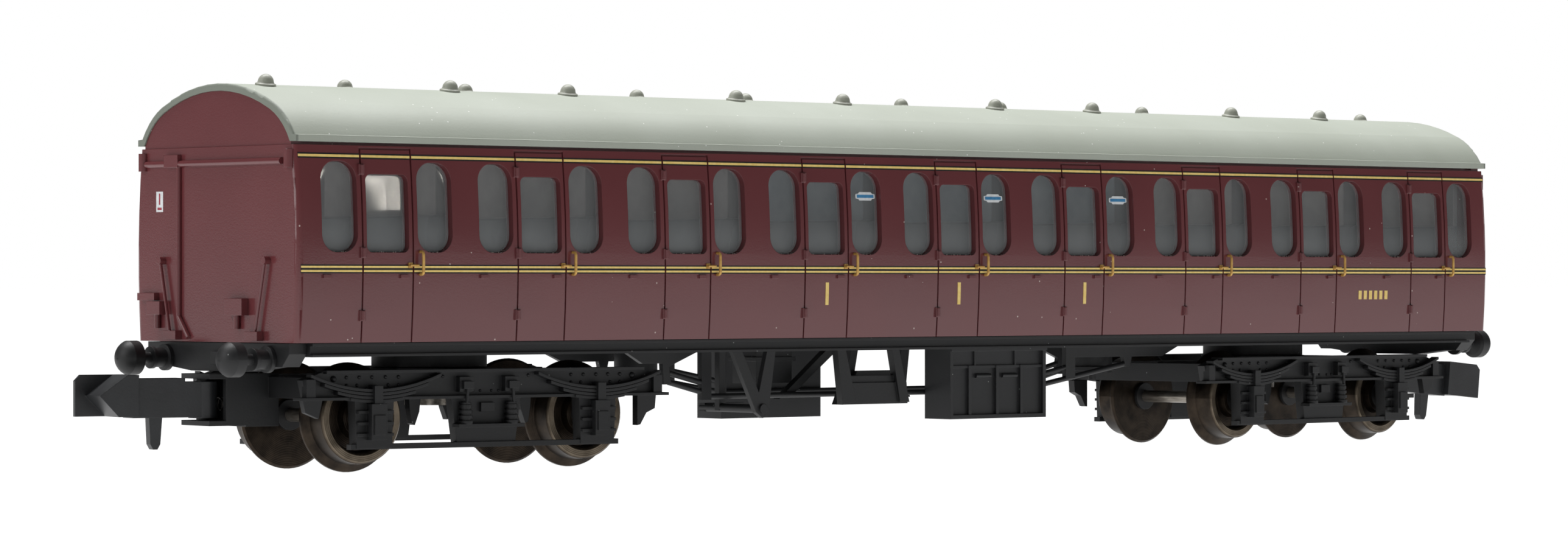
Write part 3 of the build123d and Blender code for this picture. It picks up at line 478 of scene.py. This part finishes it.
for label, side in SIDES.items():
    bm = bmesh.new()
    for span in side_spans():
        for line in YELLOW_LINES:
            side_patch(bm, side, *span, *line, YELLOW_LIFT)
    piece(f"lining_{label}", bm, YELLOW, "coach")
    bm = bmesh.new()
    for span in side_spans():
        for line in BLACK_LINES:
            side_patch(bm, side, *span, *line, BLACK_LIFT, BLACK_DEPTH)
    piece(f"lining_edge_{label}", bm, LINE_BLACK, "coach")


# ---------------------------------------------------------------- printed marks on the sides
MARK_LIFT = 0.02
CLASS_BAR_X = (-0.1, 0.2)       # from the door's middle, on the left side
CLASS_BAR_Z = (11.05, 12.65)
NUMBER_X = (43.22, 46.86)
NUMBER_Z = (11.31, 11.99)
NUMBER_BARS = 6
NUMBER_BAR_SPAN = (0.14, 0.72)  # part of its step that each bar covers
GLASS_LIFT = -0.4               # the panes lie this far inside the body side
LABEL_X = (4.18, 3.98, 4.08)    # from the compartment's middle, one for each first class compartment
LABEL_Z = 18.8
LABEL_SHAPE = mirrored(((0.93, 0.08), (0.9, 0.16), (0.66, 0.19), (0.56, 0.3)))
LABEL_BAND = mirrored(((0.8, 0.11),))
BAND_LIFT = GLASS_LIFT + 0.01

for label, side in SIDES.items():
    bm = bmesh.new()
    for i in FIRST_CLASS:
        xs = sorted(COMPARTMENT_X[i] - side * x for x in CLASS_BAR_X)
        side_patch(bm, side, *xs, *CLASS_BAR_Z, MARK_LIFT)
    piece(f"class_bars_{label}", bm, YELLOW, "coach")
    bm = bmesh.new()
    step = (NUMBER_X[1] - NUMBER_X[0]) / NUMBER_BARS
    for k in range(NUMBER_BARS):
        xs = sorted(-side * (NUMBER_X[0] + step * (k + part)) for part in NUMBER_BAR_SPAN)
        side_patch(bm, side, *xs, *NUMBER_Z, MARK_LIFT)
    piece(f"number_bars_{label}", bm, YELLOW, "coach")
    for i, offset in zip(FIRST_CLASS, LABEL_X):
        x = -side * (COMPARTMENT_X[i] + offset)
        bm = bmesh.new()
        side_plate(bm, side, x, LABEL_Z, LABEL_SHAPE, GLASS_LIFT)
        piece(f"window_label_{label}_{i + 1}", bm, LABEL_WHITE, "coach")
        bm = bmesh.new()
        side_plate(bm, side, x, LABEL_Z, LABEL_BAND, BAND_LIFT)
        piece(f"window_label_band_{label}_{i + 1}", bm, LABEL_BLUE, "coach")


# ---------------------------------------------------------------- warning plates on the ends
PLATE_Y = (6.1, 6.9)
PLATE_Z = (17.37, 18.73)
PLATE_X = (-0.01, 0.015)        # outward from the end's face
MARK_X = (0.01, 0.022)
MARKS = ((0.08, (17.85, 18.6)), (0.24, (17.5, 17.66)))      # half width and heights of each red mark

for label, out in ENDS.items():
    face = out * HALF_LENGTH
    plate_middle = -out * sum(PLATE_Y) / 2
    bm = bmesh.new()
    block(bm, [face + out * x for x in PLATE_X], [-out * y for y in PLATE_Y], PLATE_Z)
    piece(f"end_label_{label}", bm, LABEL_WHITE, "coach")
    bm = bmesh.new()
    for half, heights in MARKS:
        block(bm, [face + out * x for x in MARK_X], (plate_middle - half, plate_middle + half), heights)
    piece(f"end_label_marks_{label}", bm, LABEL_RED, "coach")


# ---------------------------------------------------------------- dust on the window sills
SILL_Z = 14.62
SILLS = ((-3.88, 0.62), (0.0, 1.4), (3.88, 0.62))       # middle and half width of a compartment's three sills
SPECKS_PER_SILL = 9
DUST_RADIUS = (0.02, 0.045)
DUST_INSET = (0.04, 0.2)
DUST_RISE = 0.6                 # part of its radius that a speck's middle lies above the sill
dice = random.Random(41)

for label, side in SIDES.items():
    bm = bmesh.new()
    for x in COMPARTMENT_X:
        for offset, half in SILLS:
            for _ in range(SPECKS_PER_SILL):
                radius = dice.uniform(*DUST_RADIUS)
                y = side * (side_y(SILL_Z) - dice.uniform(*DUST_INSET))
                spot = (x + offset + dice.uniform(-half, half), y, SILL_Z + radius * DUST_RISE)
                ball(bm, spot, radius, 1)
    piece(f"sill_dust_{label}", bm, DUST, "coach")


# ---------------------------------------------------------------- rivets on the bogie sides
SIDE_FACE = 7.2
RIVETS = [(x, 6.39, 0.13) for x in (6.85, 7.85, 8.89, 9.87, 10.85)]         # along, height, radius
RIVETS += [(x, 5.87, 0.12) for x in (6.85, 7.65, 10.04, 10.85)]
RIVETS += [(11.85, 6.3, 0.22), (3.4, 6.39, 0.12), (4.4, 6.39, 0.12), (0.45, 5.4, 0.1), (1.0, 5.4, 0.1)]


def bogie_frame_axes(end):
    """Centre, wheelbase direction and sideways direction of one bogie."""
    outer, inner = (Vector(JOINTS[f"wheelset_{end}_{p}_spin"]["pos_m"]) for p in ("outer", "inner"))
    along = (inner - outer).normalized()
    return (outer + inner) / (2 * MM), along, Vector((-along.y, along.x, 0))


for end in ENDS:
    centre, along, across = bogie_frame_axes(end)
    bm = bmesh.new()
    for side in SIDES.values():
        for sign in (-1, 1):
            for x, z, radius in RIVETS:
                spot = centre + along * (sign * x) + across * (side * SIDE_FACE)
                ball(bm, (spot.x, spot.y, z), radius, 2)
    piece(f"bogie_rivets_{end}", bm, BLACK, f"bogie_{end}")


# ---------------------------------------------------------------- camera, light, floor
VIEW_AZIMUTH = -41.455          # degrees: from the front left
VIEW_ELEVATION = -0.092         # degrees: level with the body's lower half
VIEW_TARGET = (-8.715, 0, 13.331)
VIEW_DISTANCE = 351.32
SENSOR = 36
LENS = 110.7559
CLIP = (0.01, 20)               # metres

FLOOR_TONES = ((96, 96, 96), (99, 99, 99))
FLOOR_GLOW = 1.0
FLOOR_DROP = 0.02
FLOOR_HALF = 6                  # metres
ROOM_LIGHT = 0.1
WHITE = (1, 1, 1, 1)
WARM = (1, 0.94, 0.84)


def add_camera():
    azimuth, elevation = math.radians(VIEW_AZIMUTH), math.radians(VIEW_ELEVATION)
    back = Vector((math.sin(azimuth) * math.cos(elevation), -math.cos(azimuth) * math.cos(elevation),
                   math.sin(elevation)))
    data = bpy.data.cameras.new("camera")
    data.sensor_width = SENSOR
    data.lens = LENS
    data.clip_start, data.clip_end = CLIP
    camera = bpy.data.objects.new("camera", data)
    camera.location = (Vector(VIEW_TARGET) + back * VIEW_DISTANCE) * MM
    camera.rotation_euler = back.to_track_quat("Z", "Y").to_euler()
    SCENE.collection.objects.link(camera)
    SCENE.camera = camera


def add_area(name, place, aim, size, power, colour=WHITE[:3]):
    data = bpy.data.lights.new(name, "AREA")
    data.shape = "RECTANGLE"
    data.size, data.size_y = size[0] * MM, size[1] * MM
    data.energy = power
    data.color = colour
    lamp = bpy.data.objects.new(name, data)
    lamp.location = Vector(place) * MM
    lamp.rotation_euler = (Vector(place) - Vector(aim)).to_track_quat("Z", "Y").to_euler()
    SCENE.collection.objects.link(lamp)
    return lamp


def add_floor():
    """Plain pale floor that stays nearly shadowless under soft light."""
    p = Paint("floor_pale", specular=0.1)
    p.feed(p.bsdf.inputs["Roughness"], 0.9)
    p.feed(p.bsdf.inputs["Base Color"], p.tones(p.noise(0.02), *FLOOR_TONES))
    p.feed(p.bsdf.inputs["Emission Color"], WHITE)
    p.feed(p.bsdf.inputs["Emission Strength"], FLOOR_GLOW)
    bm = bmesh.new()
    bmesh.ops.create_grid(bm, x_segments=2, y_segments=2, size=FLOOR_HALF)
    mesh = bpy.data.meshes.new("floor")
    bm.to_mesh(mesh)
    bm.free()
    mesh.materials.append(p.mat)
    floor = bpy.data.objects.new("floor", mesh)
    floor.location.z = CAD_BOX[0][2] - FLOOR_DROP * MM
    SCENE.collection.objects.link(floor)


def add_world():
    """White background; the room itself gives little light, so surfaces that face its horizon stay deep."""
    world = bpy.data.worlds.new("studio")
    world.use_nodes = True
    tree = world.node_tree
    room = tree.nodes["Background"]
    room.inputs["Color"].default_value = WHITE
    room.inputs["Strength"].default_value = ROOM_LIGHT
    seen = tree.nodes.new("ShaderNodeBackground")
    seen.inputs["Color"].default_value = WHITE
    path = tree.nodes.new("ShaderNodeLightPath")
    mix = tree.nodes.new("ShaderNodeMixShader")
    tree.links.new(path.outputs["Is Camera Ray"], mix.inputs[0])
    tree.links.new(room.outputs[0], mix.inputs[1])
    tree.links.new(seen.outputs[0], mix.inputs[2])
    tree.links.new(mix.outputs[0], tree.nodes["World Output"].inputs["Surface"])
    SCENE.world = world


def light_only(lamp, node_name):
    """Let a lamp fall on one CAD node and nothing else."""
    receivers = bpy.data.collections.new(f"lit_by_{lamp.name}")
    receivers.objects.link(NODES[node_name])
    lamp.light_linking.receiver_collection = receivers


add_camera()
add_world()
add_floor()
add_area("top_softbox", (40, 130, 460), (10, 0, 18), (520, 200), 3.9)
add_area("left_softbox", (-420, 90, 190), (-30, 0, 14), (240, 240), 0.5)
light_only(add_area("window_strip", (191, -329, 77), (-52, -9, 18), (2.4, 40), 0.017, WARM), "glazing_left")
SCENE.view_settings.view_transform = "Standard"
